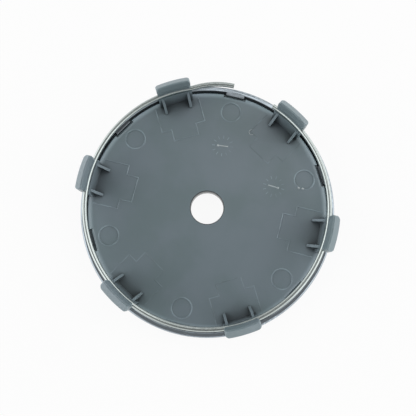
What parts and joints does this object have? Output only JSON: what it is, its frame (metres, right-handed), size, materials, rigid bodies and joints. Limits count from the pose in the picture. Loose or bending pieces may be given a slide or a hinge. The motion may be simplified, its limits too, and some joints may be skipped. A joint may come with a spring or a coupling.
{
  "type": "wheel centre cap",
  "caption": "Round snap-in cap for a car wheel's centre, seen from its back: chromed cup, grey plate with hooked clips and a spring wire ring, round hole in the middle.",
  "frame": {"origin": "middle of the cap on the plane of its front bead, which it lies on", "axes": "+Z from the front face to the clips at the back, +X through the middle of one clip"},
  "size_m": [0.082, 0.082, 0.0172],
  "materials": {
    "grey_plastic": "fine satin moulding",
    "chrome_plating": "bright plating on plastic",
    "spring_steel": "drawn wire, bright"
  },
  "bodies": {
    "root": {"back_plate": "grey_plastic", "front_cover": "chrome_plating", "wire_ring": "spring_steel"}
  },
  "joints": []
}
